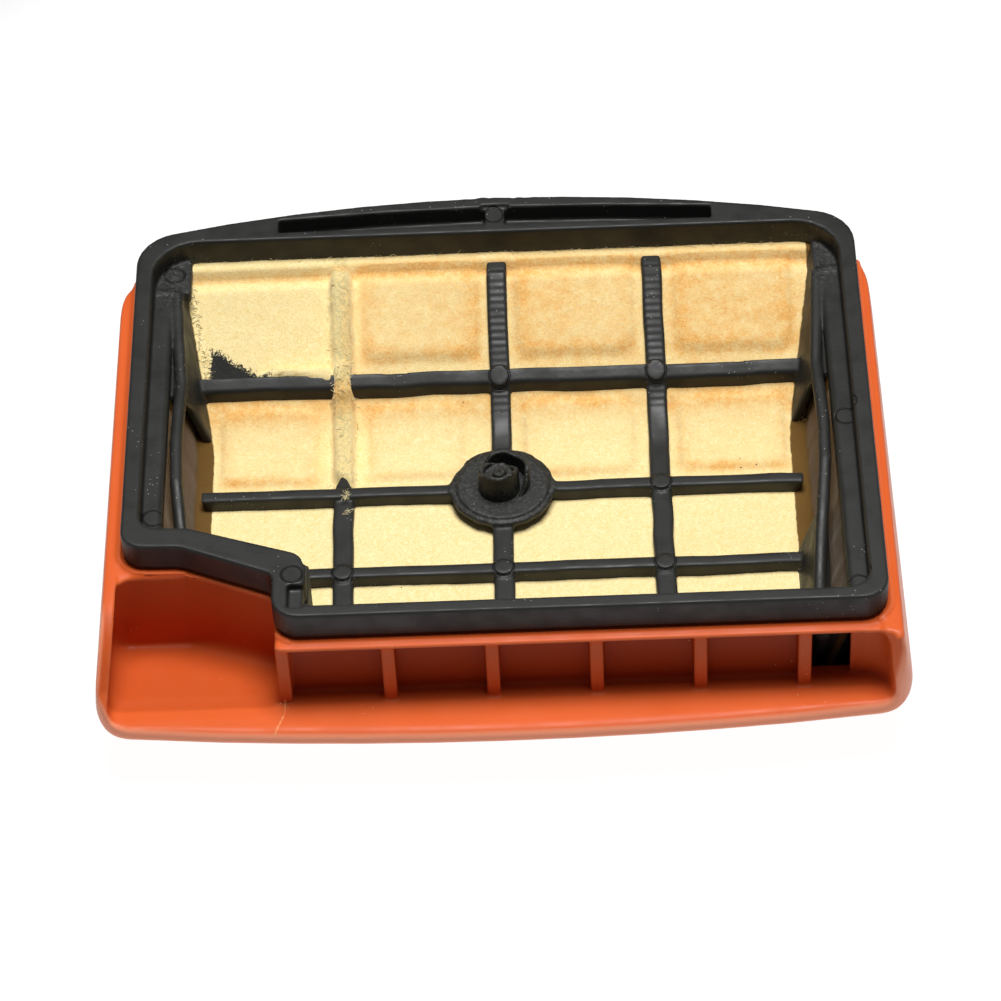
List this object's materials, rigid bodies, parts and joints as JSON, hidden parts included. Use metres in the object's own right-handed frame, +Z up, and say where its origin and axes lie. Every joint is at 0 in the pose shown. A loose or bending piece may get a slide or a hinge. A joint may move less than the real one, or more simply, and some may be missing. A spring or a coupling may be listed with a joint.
{
  "type": "air filter housing",
  "caption": "Moulded cover dish with a vaned air intake, and a lift-out frame of ribs that carries pressed felt inside a flat sealing rim.",
  "frame": {"origin": "centre of the whole object's bounding box, on the surface that the crowned cover rests on", "axes": "+X across the engine to the right when seen from the air intake, +Y from the air intake to the thin end, +Z up out of the cover, square to the sealing face"},
  "size_m": [0.1386, 0.1094, 0.034],
  "materials": {
    "cover_plastic": "satin moulded orange plastic, lighter along worn edges",
    "frame_plastic": "satin moulded black plastic with ejector marks and fine dust",
    "felt": "pressed pale yellow felt with tan compression marks and loose fibres at its edges"
  },
  "bodies": {
    "cover": {"housing_shell": "cover_plastic", "pocket_wall": "cover_plastic", "intake_back_wall": "cover_plastic", "intake_header_bar": "cover_plastic", "intake_cheek": "cover_plastic", "intake_vane_1": "cover_plastic", "intake_vane_2": "cover_plastic", "intake_vane_3": "cover_plastic", "intake_vane_4": "cover_plastic", "intake_vane_5": "cover_plastic"},
    "filter_insert": {"seal_rim": "frame_plastic", "inner_ledge": "frame_plastic", "side_frame_left": "frame_plastic", "side_frame_right": "frame_plastic", "side_bar_left": "frame_plastic", "side_bar_right": "frame_plastic", "near_wall": "frame_plastic", "notch_wall": "frame_plastic", "long_rib_1": "frame_plastic", "long_rib_2": "frame_plastic", "long_rib_3": "frame_plastic", "cross_rib_1": "frame_plastic", "cross_rib_2": "frame_plastic", "cross_rib_3": "frame_plastic", "cross_rib_4": "frame_plastic", "centre_disc": "frame_plastic", "boss_stub": "frame_plastic", "felt_floor": "felt", "felt_side_left": "felt", "felt_side_right": "felt", "felt_near": "felt"}
  },
  "joints": [
    {"name": "filter_lift", "type": "slide", "parent": "cover", "child": "filter_insert", "axis": [0, 0, 1], "range_m": [0, 0.05]}
  ]
}
